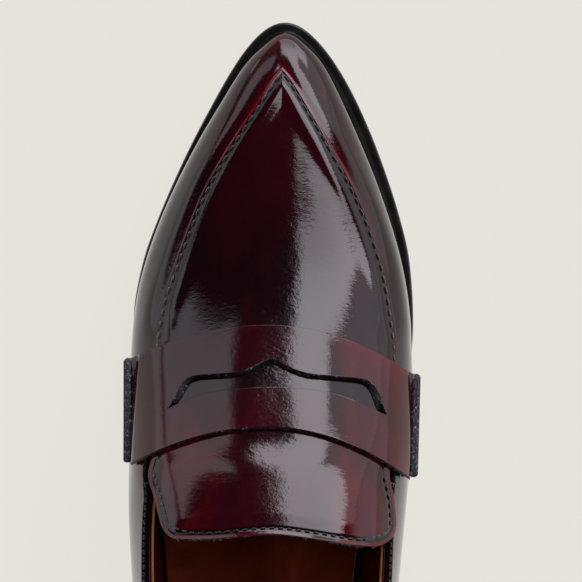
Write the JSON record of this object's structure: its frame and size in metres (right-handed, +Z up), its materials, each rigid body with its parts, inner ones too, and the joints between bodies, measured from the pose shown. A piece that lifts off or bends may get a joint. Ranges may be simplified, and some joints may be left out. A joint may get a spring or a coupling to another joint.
{
  "type": "penny loafer",
  "caption": "Left slip-on penny loafer with a pointed toe, sewn apron, slotted saddle strap, tongue and low block heel.",
  "frame": {"origin": "on the ground under the middle of the shoe's overall length and width", "axes": "+Y towards the toe, +X towards the inner side of the foot, +Z up"},
  "size_m": [0.0929, 0.2801, 0.0798],
  "materials": {
    "burgundy_leather": "high-gloss brushed-off polish, dark burgundy with near-black shading",
    "strap_leather": "high-gloss brushed-off polish, burgundy, with raw black cut edges",
    "brown_lining": "smooth matt lining leather, red-brown",
    "sole_black": "satin black, rounded polished edge",
    "heel_black": "satin black lacquer",
    "top_piece_rubber": "matt black",
    "cork_filler": "ground cork, matt",
    "board": "pressed fibre board, matt",
    "stiffener": "stiffened felt, matt",
    "steel": "plain rolled steel"
  },
  "bodies": {
    "shoe": {"outsole": "sole_black", "welt": "sole_black", "heel_block": "heel_black", "heel_top_piece": "top_piece_rubber", "bottom_filler": "cork_filler", "shank": "steel", "insole_board": "board", "sock_lining": "brown_lining", "heel_pad": "brown_lining", "heel_nail_1": "steel", "heel_nail_2": "steel", "heel_nail_3": "steel", "heel_nail_4": "steel", "heel_nail_5": "steel", "vamp": "burgundy_leather", "toe_puff": "stiffener", "vamp_lining": "brown_lining", "plug": "burgundy_leather", "tongue_root": "burgundy_leather", "saddle_strap": "strap_leather", "heel_counter": "stiffener", "back_strip": "burgundy_leather", "topline_binding": "strap_leather", "side_tab_lateral": "strap_leather", "side_tab_medial": "strap_leather", "quarter_lateral": "burgundy_leather", "quarter_medial": "burgundy_leather", "quarter_lining_lateral": "brown_lining", "quarter_lining_medial": "brown_lining"},
    "tongue_flap": {"tongue": "burgundy_leather", "tongue_lining": "brown_lining"}
  },
  "joints": [
    {"name": "tongue_lift", "type": "hinge", "parent": "shoe", "child": "tongue_flap", "pos_m": [0, 0.0003, 0.0736], "axis": [-1, 0, 0], "range_deg": [0, 25], "stiffness_Nm_per_rad": 0.02}
  ]
}
